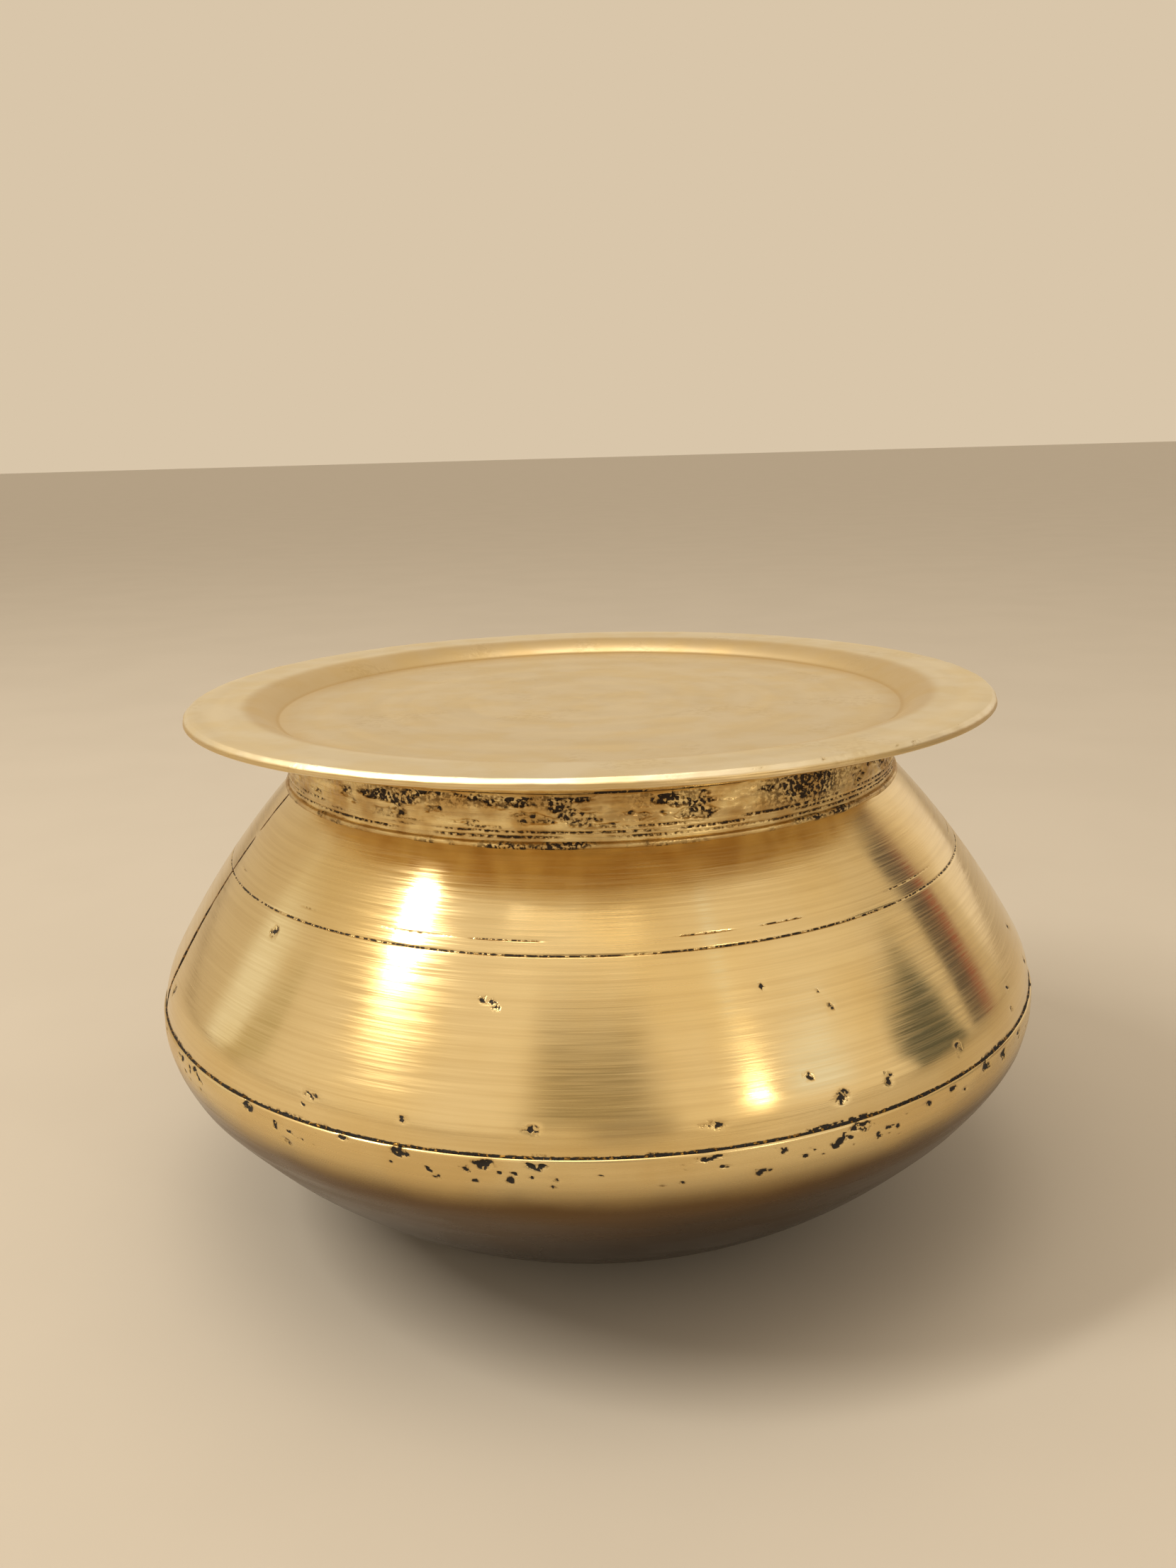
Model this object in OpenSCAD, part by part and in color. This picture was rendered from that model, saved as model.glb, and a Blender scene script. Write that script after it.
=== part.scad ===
// Squat brass cooking pot (handi) with a loose, dished lid.
// Two shells meet at the belly, a flared lip stands on a short neck, and the lid lies on the lip.

/* [Body] */
// Widest diameter of the body, at the edge of the bowl
belly_d = 300; // [250:1:360]
// Height of the widest line above the table
belly_h = 79; // [66:0.5:95]
// Thickness of the body's sheet
sheet_t = 1.8; // [1.2:0.1:2.5]
// Diameter of the flattened middle of the base
base_d = 120; // [80:1:144]
// Radius of the bowl's large curve
bowl_r = 164; // [140:1:200]
// Radius of the turn between the bowl and the widest line
bowl_turn_r = 34; // [25:1:45]

/* [Shoulder] */
// Rise from the widest line to the shoulder's top edge, where the collar stands
shoulder_rise = 72; // [60:0.5:87]
// Radius of the shoulder's long, almost straight curve
shoulder_r = 274; // [220:1:400]
// Radius of the turn between the widest line and the shoulder
shoulder_turn_r = 31; // [22:1:40]
// Drop from the shoulder's top edge to the lower incised line
line_drop = 24.2; // [12:0.1:40]
// Rise from the lower incised line to the upper one
line_gap = 3.3; // [1.5:0.1:6]
// Radius of the lower line's groove
line_r = 0.45; // [0.2:0.05:0.8]
// Radius of the fainter upper line's groove
faint_line_r = 0.3; // [0.2:0.05:0.6]

/* [Seams] */
// Height of the belly seam above the widest line
seam_rise = 2.5; // [1:0.1:5]
// How far the bowl's edge stands out from the shoulder's edge
seam_step = 0.8; // [0.4:0.1:1.2]
// Width at the belly of the strip of braze that closes the shoulder's sheet
strip_w = 1.6; // [0.8:0.1:3]
// Direction of that strip, counted anticlockwise from +X
strip_az = 200; // [0:1:359]
// Radius of the bead of braze round the collar's foot
neck_bead_r = 1.3; // [0.6:0.1:1.8]

/* [Neck and lip] */
// Outside diameter of the neck, inside the collar
neck_d = 204; // [180:1:216]
// Thickness of the neck and the lip
lip_t = 2; // [1.5:0.1:2.5]
// Rise from the shoulder's top edge to the lip's flat top
neck_rise = 23.6; // [19.5:0.1:29]
// Radius of the flare, on its upper side
flare_r = 15; // [12.5:0.5:18]
// Width of the lip's flat part, outside the flare
lip_w = 14; // [6:0.5:20]
// Thickness of the collar round the neck
collar_t = 1.5; // [1:0.1:2.5]
// Radius of the turned grooves at the collar's foot
ledge_r = 0.4; // [0.2:0.05:0.6]
// Number of turned grooves
ledge_n = 3; // [1:1:4]
// Spacing of the turned grooves
ledge_pitch = 1.3; // [1:0.1:2]

/* [Lid] */
// How far the lid reaches past the lip
lid_overhang = 6; // [0:0.5:15]
// Thickness of the lid's broad rim
rim_t = 3.1; // [2.4:0.1:4]
// Thickness of the lid's middle
plate_t = 2; // [1.2:0.1:2.2]
// Width of the filed bevel round the lid's edge
bevel_w = 1.5; // [0.8:0.1:2]
// How far inside the lip's flat part the dish starts
dish_inset = 1.5; // [1:0.1:6]
// Depth of the dish
dish_depth = 5.5; // [4.5:0.1:6.6]
// Width of the curved wall round the dish
dish_wall_w = 14.5; // [13:0.5:18]
// Gap between the lid and the lip that it rests on
seat_gap = 0.3; // [0.2:0.1:0.6]

/* [Hidden] */
$fn = 180;
// Curves that would only touch reach this much past each other, so that rounding can't leave a sliver
lap = 0.01;

belly_r = belly_d / 2;
seam_h = belly_h + seam_rise;
shoulder_h = belly_h + shoulder_rise;
lip_h = shoulder_h + neck_rise;
collar_r = neck_d / 2 + collar_t;
shoulder_edge_r = belly_r - seam_step;

// Angle that a corner curve turns through before a larger curve, tangent to it, runs on to a point.
// The point is dx across and dz up or down from the corner curve's centre.
function turn_to(dx, dz, large_r, small_r) =
    let (d = large_r - small_r)
    let (reach = norm([dx, dz]))
    atan2(dz, dx) - acos((large_r * large_r - d * d - reach * reach) / (2 * d * reach));

bowl_turn_c = [belly_r - bowl_turn_r, belly_h];
bowl_turn = turn_to(base_d / 2 - bowl_turn_c[0], belly_h, bowl_r, bowl_turn_r);
bowl_c = bowl_turn_c + (bowl_r - bowl_turn_r) * [-cos(bowl_turn), sin(bowl_turn)];

shoulder_turn_c = [shoulder_edge_r - shoulder_turn_r, belly_h];
shoulder_dx = collar_r - shoulder_turn_c[0];
shoulder_turn = turn_to(shoulder_dx, shoulder_rise, shoulder_r, shoulder_turn_r);
shoulder_c = shoulder_turn_c - (shoulder_r - shoulder_turn_r) * [cos(shoulder_turn), sin(shoulder_turn)];
shoulder_end = asin((shoulder_h - shoulder_c[1]) / shoulder_r);
strip_angle = 360 * strip_w / (PI * belly_d);

flare_c = [neck_d / 2 - lip_t + flare_r, lip_h - flare_r];
lip_r = flare_c[0] + lip_w;

lid_r = lip_r + lid_overhang;
lid_z = lip_h + seat_gap;
lid_top = lid_z + rim_t;
dish_r = flare_c[0] - dish_inset;
dish_floor = lid_top - dish_depth;
// Two equal arcs, one the other way up, make the dish's wall
wall_r = (dish_wall_w * dish_wall_w + dish_depth * dish_depth) / (4 * dish_depth);
wall_top_c = [dish_r, lid_top - wall_r];
wall_foot_c = [dish_r - dish_wall_w, dish_floor + wall_r];

// Bent sheet that starts on the X axis, with its outer face at the origin, and turns round a centre
// that lies to the left
module bent_sheet(outer_r, thickness, turn) {
    far = 1.5 * outer_r;
    translate([-outer_r, 0])
        intersection() {
            difference() {
                circle(outer_r);
                circle(outer_r - thickness);
            }
            polygon([
                [0, 0],
                [far, 0],
                far * [cos(turn / 2), sin(turn / 2)],
                far * [cos(turn), sin(turn)]
            ]);
        }
}

// Puts its children on a circle, with their X axis pointing away from the centre
module on_circle(centre, radius, direction) {
    translate(centre + radius * [cos(direction), sin(direction)])
        rotate(direction)
            children();
}

// Rectangle between two radii and two heights
module band(r0, r1, z0, z1) {
    translate([r0, z0])
        square([r1 - r0, z1 - z0]);
}

module bowl_section() {
    past_seam = 15;
    intersection() {
        union() {
            on_circle(bowl_c, bowl_r, -bowl_turn) {
                bent_sheet(bowl_turn_r, sheet_t, bowl_turn + past_seam);
                bent_sheet(bowl_r, sheet_t, bowl_turn - 90);
            }
            band(0, base_d / 2 - lap, 0, sheet_t);
        }
        band(0, belly_d, 0, seam_h);
    }
}

// Groove along the shoulder's outer face, at a depth below its top edge
module incised_line(drop, groove_r) {
    rise = asin((shoulder_h - drop - shoulder_c[1]) / shoulder_r);
    on_circle(shoulder_c, shoulder_r, rise)
        circle(groove_r, $fn = 24);
}

module shoulder_section() {
    past_edge = 5;
    difference() {
        intersection() {
            on_circle(shoulder_c, shoulder_r, shoulder_turn) {
                bent_sheet(shoulder_turn_r, sheet_t, -shoulder_turn);
                bent_sheet(shoulder_r, sheet_t, shoulder_end - shoulder_turn + past_edge);
            }
            band(0, belly_d, seam_h, shoulder_h);
        }
        incised_line(line_drop, line_r);
        incised_line(line_drop - line_gap, faint_line_r);
    }
}

module bowl() {
    color("darkgoldenrod")
        rotate_extrude()
            bowl_section();
}

module shoulder() {
    color("goldenrod")
        rotate([0, 0, strip_az + strip_angle / 2])
            rotate_extrude(angle = 360 - strip_angle)
                shoulder_section();
}

module shoulder_strip() {
    color("saddlebrown")
        rotate([0, 0, strip_az - strip_angle / 2])
            rotate_extrude(angle = strip_angle)
                shoulder_section();
}

// Bead in the corner where the bowl's edge stands out from the shoulder, with its back on the shoulder's
// curve
module belly_braze() {
    rise = asin((seam_rise + seam_step / 2) / shoulder_turn_r);
    back_r = shoulder_turn_c[0] + shoulder_turn_r * cos(rise);
    lean = tan(rise) * seam_step / 2;
    bulge = 0.7 * seam_step;
    color("saddlebrown")
        rotate_extrude()
            polygon([
                [back_r + lean, seam_h],
                [back_r + lean + seam_step, seam_h],
                [back_r + bulge, seam_h + bulge],
                [back_r - lean, seam_h + seam_step]
            ]);
}

module lip() {
    flange_end = lip_r - lip_t / 2;
    color("goldenrod")
        rotate_extrude() {
            band(neck_d / 2 - lip_t, neck_d / 2, shoulder_h, flare_c[1]);
            on_circle(flare_c, flare_r, 90)
                bent_sheet(flare_r, lip_t, 90);
            band(flare_c[0], flange_end, lip_h - lip_t, lip_h);
            translate([flange_end, lip_h - lip_t / 2])
                circle(lip_t / 2, $fn = 32);
        }
}

// Band round the neck; its top runs out against the flare
module collar() {
    first_ledge = shoulder_h + neck_bead_r + ledge_pitch;
    color("peru")
        rotate_extrude()
            difference() {
                intersection() {
                    band(neck_d / 2, collar_r, shoulder_h, lip_h);
                    union() {
                        band(neck_d / 2, collar_r, shoulder_h, flare_c[1]);
                        translate(flare_c)
                            circle(flare_r - lip_t);
                    }
                }
                for (i = [0 : ledge_n - 1])
                    translate([collar_r, first_ledge + i * ledge_pitch])
                        circle(ledge_r, $fn = 24);
            }
}

// Bead in the corner between the collar's foot and the shoulder
module neck_braze() {
    color("saddlebrown")
        rotate_extrude()
            difference() {
                translate([collar_r, shoulder_h])
                    circle(neck_bead_r, $fn = 32);
                band(0, collar_r, 0, lip_h);
                translate(shoulder_c)
                    circle(shoulder_r, $fn = 1440);
            }
}

// Everything above the dish's floor and wall: hollow inside one circle, full inside the other
module dish_hollow() {
    above = lid_top + 1;
    difference() {
        union() {
            band(0, wall_foot_c[0], dish_floor, above);
            translate(wall_foot_c)
                circle(wall_r + lap);
            band(wall_foot_c[0], dish_r, dish_floor + dish_depth / 2, above);
        }
        translate(wall_top_c)
            circle(wall_r + lap);
        band(0, lid_r, 0, dish_floor);
    }
}

module lid() {
    color("khaki")
        rotate_extrude()
            difference() {
                polygon([
                    [0, dish_floor - plate_t],
                    [wall_foot_c[0] + 1.5 * plate_t, dish_floor - plate_t],
                    [dish_r - rim_t, lid_z],
                    [lid_r, lid_z],
                    [lid_r, lid_top - bevel_w],
                    [lid_r - bevel_w, lid_top],
                    [0, lid_top]
                ]);
                dish_hollow();
            }
}

bowl();
shoulder();
shoulder_strip();
belly_braze();
lip();
collar();
neck_braze();
lid();
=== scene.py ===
import math

import bpy
import numpy as np
from mathutils import Matrix, Vector, noise


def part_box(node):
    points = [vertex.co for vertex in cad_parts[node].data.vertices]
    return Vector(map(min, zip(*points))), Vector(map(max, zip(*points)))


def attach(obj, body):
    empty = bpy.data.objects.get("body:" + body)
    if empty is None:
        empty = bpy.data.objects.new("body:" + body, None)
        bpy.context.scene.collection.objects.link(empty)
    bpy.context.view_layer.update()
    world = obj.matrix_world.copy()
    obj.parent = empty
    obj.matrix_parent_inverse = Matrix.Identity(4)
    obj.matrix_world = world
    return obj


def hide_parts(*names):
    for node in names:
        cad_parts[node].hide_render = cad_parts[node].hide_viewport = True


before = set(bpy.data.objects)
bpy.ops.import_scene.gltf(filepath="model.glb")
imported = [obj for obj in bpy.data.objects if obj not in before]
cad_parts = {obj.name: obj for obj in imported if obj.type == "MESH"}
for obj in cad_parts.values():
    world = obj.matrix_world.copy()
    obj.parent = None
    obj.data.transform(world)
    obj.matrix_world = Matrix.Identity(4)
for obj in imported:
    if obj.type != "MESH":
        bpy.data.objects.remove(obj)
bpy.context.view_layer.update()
print("frame loaded:", ", ".join(sorted(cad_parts)))

mm = 0.001


# ---- small helpers

def nodeSize(node):
    # lowest and highest corner of a CAD node, in millimetres
    low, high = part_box(node)
    return low / mm, high / mm


def clearSelection():
    if bpy.context.mode != "OBJECT":
        bpy.ops.object.mode_set(mode="OBJECT")
    bpy.ops.object.select_all(action="DESELECT")


def linear(hexColour, alpha=1.0):
    # sRGB hex to the linear colour that the shader wants
    parts = [int(hexColour[i:i + 2], 16) / 255 for i in (1, 3, 5)]
    parts = [p / 12.92 if p <= 0.04045 else ((p + 0.055) / 1.055) ** 2.4 for p in parts]
    return (*parts, alpha)


def addNode(tree, kind, settings=None, inputs=None):
    # one node, its settings, and its inputs, which are values or the sockets that feed them
    node = tree.nodes.new(kind)
    for key, value in (settings or {}).items():
        setattr(node, key, value)
    for key, value in (inputs or {}).items():
        if isinstance(value, bpy.types.NodeSocket):
            tree.links.new(value, node.inputs[key])
        else:
            node.inputs[key].default_value = value
    return node


def smooth(low, high, value):
    # 0 below low, 1 above high, and an easy curve between
    t = np.clip((value - low) / (high - low), 0, 1)
    return t * t * (3 - 2 * t)


# ---- outlines, all in millimetres, as (radius, height)

def turnTo(dx, dz, largeRadius, smallRadius):
    # how far a corner curve turns before a larger curve, tangent to it, runs on to a point
    d = largeRadius - smallRadius
    reach = math.hypot(dx, dz)
    return math.atan2(dz, dx) - math.acos((largeRadius ** 2 - d * d - reach * reach) / (2 * d * reach))


def arcPoints(centre, radius, start, end, spacing):
    count = max(2, round(abs(end - start) * radius / spacing))
    angles = [start + (end - start) * i / count for i in range(count + 1)]
    return [(centre[0] + radius * math.cos(a), centre[1] + radius * math.sin(a)) for a in angles]


def linePoints(start, end, spacing):
    count = max(1, round(math.dist(start, end) / spacing))
    return [(start[0] + (end[0] - start[0]) * i / count, start[1] + (end[1] - start[1]) * i / count)
            for i in range(count + 1)]


def latheOutline(name, outline, steps, closed, angle=2 * math.pi, startAngle=0.0):
    # a single vertex is extruded along the outline, and the outline is spun round the pot's axis
    clearSelection()
    bpy.ops.mesh.primitive_plane_add(size=mm)
    piece = bpy.context.object
    piece.name = piece.data.name = name
    bpy.ops.object.mode_set(mode="EDIT")
    bpy.ops.mesh.select_mode(type="VERT")
    bpy.ops.mesh.select_all(action="SELECT")
    bpy.ops.mesh.merge(type="CENTER")
    points = [Vector((r * math.cos(startAngle), r * math.sin(startAngle), z)) * mm for r, z in outline]
    if closed:
        points.append(points[0])
    bpy.ops.transform.translate(value=points[0])
    for before, after in zip(points, points[1:]):
        if (after - before).length > 1e-7:
            bpy.ops.mesh.extrude_region_move(TRANSFORM_OT_translate={"value": after - before})
    bpy.ops.mesh.select_all(action="SELECT")
    bpy.ops.mesh.remove_doubles(threshold=1e-6)
    bpy.ops.mesh.spin(steps=steps, angle=angle, center=(0, 0, 0), axis=(0, 0, 1))
    bpy.ops.mesh.select_all(action="SELECT")
    bpy.ops.mesh.remove_doubles(threshold=2e-6)
    if angle < 6:
        # part of a turn: its two cut ends are closed
        bpy.ops.mesh.fill_holes(sides=0)
        bpy.ops.mesh.select_all(action="SELECT")
    bpy.ops.mesh.normals_make_consistent(inside=False)
    bpy.ops.object.mode_set(mode="OBJECT")
    bpy.ops.object.shade_smooth_by_angle(angle=math.radians(40))
    return piece


# ---- wear and painted shade: every vertex is moved a little along its normal, and remembers how dark it is

def readSurface(piece):
    count = len(piece.data.vertices)
    place = np.zeros(count * 3)
    normal = np.zeros(count * 3)
    piece.data.vertices.foreach_get("co", place)
    piece.data.vertices.foreach_get("normal", normal)
    place = place.reshape(-1, 3) / mm
    normal = normal.reshape(-1, 3)
    radius = np.hypot(place[:, 0], place[:, 1])
    outward = (place[:, 0] * normal[:, 0] + place[:, 1] * normal[:, 1]) / np.maximum(radius, 1e-6)
    return {"place": place, "normal": normal, "radius": radius, "outward": outward,
            "height": place[:, 2], "azimuth": np.arctan2(place[:, 1], place[:, 0])}


def clouds(surface, across, along, seed):
    # smooth noise, about -1 to 1; its lumps are `across` mm wide and deep, and `along` mm high
    # the seed moves it to another part of the noise, so that no two uses are alike
    spots = surface["place"] * np.array([1 / across, 1 / across, 1 / along]) + seed
    return np.array([noise.noise(Vector(spot), noise_basis="PERLIN_ORIGINAL") for spot in spots])


def hackly(surface, across, along, seed):
    # torn, crusty noise, 0 to 1, with sharp ridges
    spots = surface["place"] * np.array([1 / across, 1 / across, 1 / along]) + seed
    return np.array([noise.turbulence(Vector(spot), 3, True) for spot in spots])


def placedMarks(surface, marks, shapeSeed):
    # each mark is (degrees round from +X, height, half its width, half its height, depth from 0 to 1)
    # the noise pulls its outline about, so that no mark is a plain oval
    wobbleAcross = clouds(surface, 3.2, 1.8, shapeSeed)
    wobbleUp = clouds(surface, 2.6, 2.6, shapeSeed + 3)
    total = np.zeros(len(surface["radius"]))
    for degrees, height, wide, tall, depth in marks:
        aside = (surface["azimuth"] - math.radians(degrees) + math.pi) % (2 * math.pi) - math.pi
        across = (aside * surface["radius"] + 1.8 * wobbleAcross) / wide
        up = (surface["height"] - height + 1.2 * wobbleUp) / tall
        total = np.maximum(total, depth * (1 - smooth(0.35, 1.35, np.hypot(across, up))))
    return total


def moveSurface(piece, surface, rise):
    moved = (surface["place"] + surface["normal"] * rise[:, None]) * mm
    piece.data.vertices.foreach_set("co", moved.astype(np.float32).ravel())
    piece.data.update()


def paintSurface(piece, name, values):
    layer = piece.data.attributes.new(name, "FLOAT", "POINT")
    layer.data.foreach_set("value", np.clip(values, 0, 1).astype(np.float32))


def finishPiece(piece, node, body, material):
    piece.data.materials.clear()
    piece.data.materials.append(material)
    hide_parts(node)
    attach(piece, body)
    print("made", piece.name, len(piece.data.polygons), "faces")


# ---- materials

def ringPattern(tree, perTurn, spacing, detail, distortion=0.0):
    # noise drawn out round the pot's axis, as a tool or a cloth leaves it on turning metal
    # perTurn is how often it changes in one turn, spacing how far apart the rings are, in metres
    where = addNode(tree, "ShaderNodeTexCoord").outputs["Object"]
    flat = addNode(tree, "ShaderNodeVectorMath", {"operation": "MULTIPLY"}, {0: where, 1: (1, 1, 0)})
    way = addNode(tree, "ShaderNodeVectorMath", {"operation": "NORMALIZE"}, {0: flat.outputs[0]})
    circle = addNode(tree, "ShaderNodeVectorMath", {"operation": "SCALE"},
                     {0: way.outputs[0], "Scale": perTurn / (2 * math.pi)})
    split = addNode(tree, "ShaderNodeSeparateXYZ", None, {0: where})
    radius = addNode(tree, "ShaderNodeVectorMath", {"operation": "LENGTH"}, {0: flat.outputs[0]})
    # height and radius both count, so that the rings show on flat faces as well as steep ones
    climb = addNode(tree, "ShaderNodeMath", {"operation": "SUBTRACT"},
                    {0: split.outputs["Z"], 1: radius.outputs["Value"]})
    ring = addNode(tree, "ShaderNodeMath", {"operation": "DIVIDE"}, {0: climb.outputs[0], 1: spacing})
    lift = addNode(tree, "ShaderNodeCombineXYZ", None, {"Z": ring.outputs[0]})
    spot = addNode(tree, "ShaderNodeVectorMath", {"operation": "ADD"},
                   {0: circle.outputs[0], 1: lift.outputs[0]})
    return addNode(tree, "ShaderNodeTexNoise", None,
                   {"Vector": spot.outputs[0], "Scale": 1.0, "Detail": detail, "Roughness": 0.6,
                    "Distortion": distortion}).outputs["Fac"]


def cloudPattern(tree, size, detail=3.0):
    # plain noise with lumps about `size` metres wide
    where = addNode(tree, "ShaderNodeTexCoord").outputs["Object"]
    return addNode(tree, "ShaderNodeTexNoise", None,
                   {"Vector": where, "Scale": 1 / size, "Detail": detail}).outputs["Fac"]


def spread(tree, value, low, high, toLow, toHigh):
    return addNode(tree, "ShaderNodeMapRange", {"interpolation_type": "SMOOTHSTEP"},
                   {"Value": value, "From Min": low, "From Max": high,
                    "To Min": toLow, "To Max": toHigh}).outputs["Result"]


def blend(tree, share, first, second, mode="MIX"):
    node = addNode(tree, "ShaderNodeMix", {"data_type": "RGBA", "blend_type": mode}, {0: share})
    for index, colour in ((6, first), (7, second)):
        if isinstance(colour, bpy.types.NodeSocket):
            tree.links.new(colour, node.inputs[index])
        else:
            node.inputs[index].default_value = colour
    return node.outputs[2]


def combine(tree, operation, first, second):
    return addNode(tree, "ShaderNodeMath", {"operation": operation, "use_clamp": True},
                   {0: first, 1: second}).outputs[0]


def brassShader(name, look):
    # Brass with 30 to 40% zinc is a pale, slightly green gold. Polishing leaves rings round the axis, so a
    # light is drawn out up and down the pot. Where the polish can't reach, it goes brown and then black.
    # The same stain and oxide mix also carries painted shade, where a piece paints it.
    material = bpy.data.materials.new(name)
    material.use_nodes = True
    tree = material.node_tree
    shader = tree.nodes["Principled BSDF"]
    fineRings = ringPattern(tree, look["fineTurn"], look["fineRing"], 3.0)
    wideRings = ringPattern(tree, look["wideTurn"], look["wideRing"], 4.0, 0.3)
    tarnish = cloudPattern(tree, look["cloudSize"])
    specks = cloudPattern(tree, look["speckSize"], 6.0)
    dark = addNode(tree, "ShaderNodeAttribute", {"attribute_name": "oxideAndShade"}).outputs["Fac"]
    ragged = combine(tree, "MULTIPLY", dark, spread(tree, specks, 0.38, 0.60, 0.15, 1.8))
    oxideAndShade = spread(tree, ragged, 0.36, 0.56, 0.0, 1.0)
    stainAndShade = spread(tree, ragged, 0.05, 0.45, 0.0, look["stainAndShade"])
    warmth = spread(tree, tarnish, 0.35, 0.68, 0.0, 1.0)
    colour = blend(tree, warmth, linear(look["colour"]), linear(look["warm"]))
    rings = spread(tree, wideRings, 0.35, 0.7, 0.0, look["ringShade"])
    colour = blend(tree, rings, colour, linear(look["shade"]))
    if "paintedShadeBands" in look:
        # below the belly, painted reflection and shade: darker and darker towards the base, standing in for
        # the dark ground that the lower bowl mirrors and the shade close under it
        height = addNode(tree, "ShaderNodeSeparateXYZ", None,
                         {0: addNode(tree, "ShaderNodeTexCoord").outputs["Object"]}).outputs["Z"]
        wavyHeight = addNode(tree, "ShaderNodeMath", {"operation": "MULTIPLY_ADD"},
                       {0: tarnish, 1: 6 * mm, 2: height}).outputs[0]
        for hexColour, low, high in look["paintedShadeBands"]:
            colour = blend(tree, spread(tree, wavyHeight, low, high, 1.0, 0.0), colour, linear(hexColour))
    if "paintedReflectionAndShade" in look:
        # painted reflection and shade, as painted on the vertices, in a darker gold
        zone = addNode(tree, "ShaderNodeAttribute", {"attribute_name": "paintedReflectionAndShade"}).outputs["Fac"]
        colour = blend(tree, zone, colour, linear(look["paintedReflectionAndShade"]))
    # stain and oxide, and the painted shade that the collar paints into the same attribute
    colour = blend(tree, stainAndShade, colour, linear(look["stainAndShadeColour"]))
    colour = blend(tree, oxideAndShade, colour, linear(look["oxideAndShadeColour"]))
    rough = spread(tree, fineRings, 0.3, 0.7, look["smoothest"], look["roughest"])
    rough = combine(tree, "ADD", rough, spread(tree, tarnish, 0.4, 0.7, 0.0, 0.06))
    rough = combine(tree, "ADD", rough, spread(tree, ragged, 0.1, 0.6, 0.0, 0.4))
    metal = spread(tree, oxideAndShade, 0.0, 1.0, 1.0, 0.25)
    bumps = addNode(tree, "ShaderNodeBump", None,
                    {"Height": fineRings, "Distance": look["ringDepth"], "Strength": 1.0})
    bumps = addNode(tree, "ShaderNodeBump", None,
                    {"Height": wideRings, "Distance": look["ringDepth"] * 2.5, "Strength": 1.0,
                     "Normal": bumps.outputs[0]})
    bumps = addNode(tree, "ShaderNodeBump", {"invert": True},
                    {"Height": ragged, "Distance": look["pitDepth"], "Strength": 1.0,
                     "Normal": bumps.outputs[0]})
    if "grain" in look:
        grit = cloudPattern(tree, look["grainSize"], 5.0)
        bumps = addNode(tree, "ShaderNodeBump", None,
                        {"Height": grit, "Distance": look["grain"], "Strength": 1.0,
                         "Normal": bumps.outputs[0]})
    turning = addNode(tree, "ShaderNodeTangent", {"direction_type": "RADIAL", "axis": "Z"})
    tree.links.new(colour, shader.inputs["Base Color"])
    tree.links.new(rough, shader.inputs["Roughness"])
    tree.links.new(metal, shader.inputs["Metallic"])
    tree.links.new(bumps.outputs[0], shader.inputs["Normal"])
    tree.links.new(turning.outputs[0], shader.inputs["Tangent"])
    shader.inputs["Anisotropic"].default_value = look["drawnOut"]
    shader.inputs["Anisotropic Rotation"].default_value = 0.25
    return material


# polished on a lathe: rings 0.3 to 0.6 mm apart on the real one, drawn up to 1.6 mm so that they show
polishedBrass = brassShader("lathe polished brass", {
    "colour": "#E7D09C", "warm": "#E1C588", "shade": "#B99A62", "ringShade": 0.22,
    "stainAndShadeColour": "#8A6A38", "stainAndShade": 0.6, "oxideAndShadeColour": "#1E160E",
    "fineTurn": 30, "fineRing": 0.6 * mm, "wideTurn": 9, "wideRing": 1.6 * mm,
    "cloudSize": 45 * mm, "speckSize": 1.4 * mm, "smoothest": 0.11, "roughest": 0.24,
    "ringDepth": 0.010 * mm, "pitDepth": 0.15 * mm, "drawnOut": 0.7})
# planished and rubbed by hand: smoother, with fewer rings, and with painted reflection and shade that
# darken it towards the base
planishedBrass = brassShader("hand planished brass", {
    "colour": "#E4CD98", "warm": "#D9BD84", "shade": "#A4884F", "ringShade": 0.15,
    "stainAndShadeColour": "#7C5E32", "stainAndShade": 0.6, "oxideAndShadeColour": "#1C150E",
    "paintedShadeBands": (("#695030", 67 * mm, 80 * mm), ("#38240F", 32 * mm, 68 * mm)),
    "fineTurn": 14, "fineRing": 1.1 * mm, "wideTurn": 6, "wideRing": 3.0 * mm,
    "cloudSize": 30 * mm, "speckSize": 1.6 * mm, "smoothest": 0.20, "roughest": 0.30,
    "ringDepth": 0.008 * mm, "pitDepth": 0.15 * mm, "drawnOut": 0.3})
# satin, from a fine abrasive cloth; the blotches are old tarnish under a thin polish
satinBrass = brassShader("satin brass", {
    "colour": "#F0E5C9", "warm": "#E7D8B4", "shade": "#D4C398", "ringShade": 0.12,
    # the darker gold is painted reflection and shade on the lid
    "paintedReflectionAndShade": "#C9A968", "stainAndShadeColour": "#A88E5C", "stainAndShade": 0.6, "oxideAndShadeColour": "#4A3A24",
    "fineTurn": 7, "fineRing": 9 * mm, "wideTurn": 4, "wideRing": 16 * mm,
    "cloudSize": 16 * mm, "speckSize": 2.0 * mm, "smoothest": 0.34, "roughest": 0.42,
    "ringDepth": 0.004 * mm, "pitDepth": 0.2 * mm, "grain": 0.006 * mm, "grainSize": 1.5 * mm,
    "drawnOut": 0.0})
# left as it came from the brazing fire: crusted with flux and oxide, only its high spots rubbed bright
scorchedBrass = brassShader("scorched brass", {
    "colour": "#EAD298", "warm": "#C6A263", "shade": "#94744A", "ringShade": 0.5,
    "stainAndShadeColour": "#6E542F", "stainAndShade": 0.7, "oxideAndShadeColour": "#2A1D11",
    "fineTurn": 40, "fineRing": 0.8 * mm, "wideTurn": 16, "wideRing": 1.8 * mm,
    "cloudSize": 10 * mm, "speckSize": 1.1 * mm, "smoothest": 0.22, "roughest": 0.45,
    "ringDepth": 0.03 * mm, "pitDepth": 0.3 * mm, "grain": 0.10 * mm, "grainSize": 1.2 * mm,
    "drawnOut": 0.2})
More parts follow.
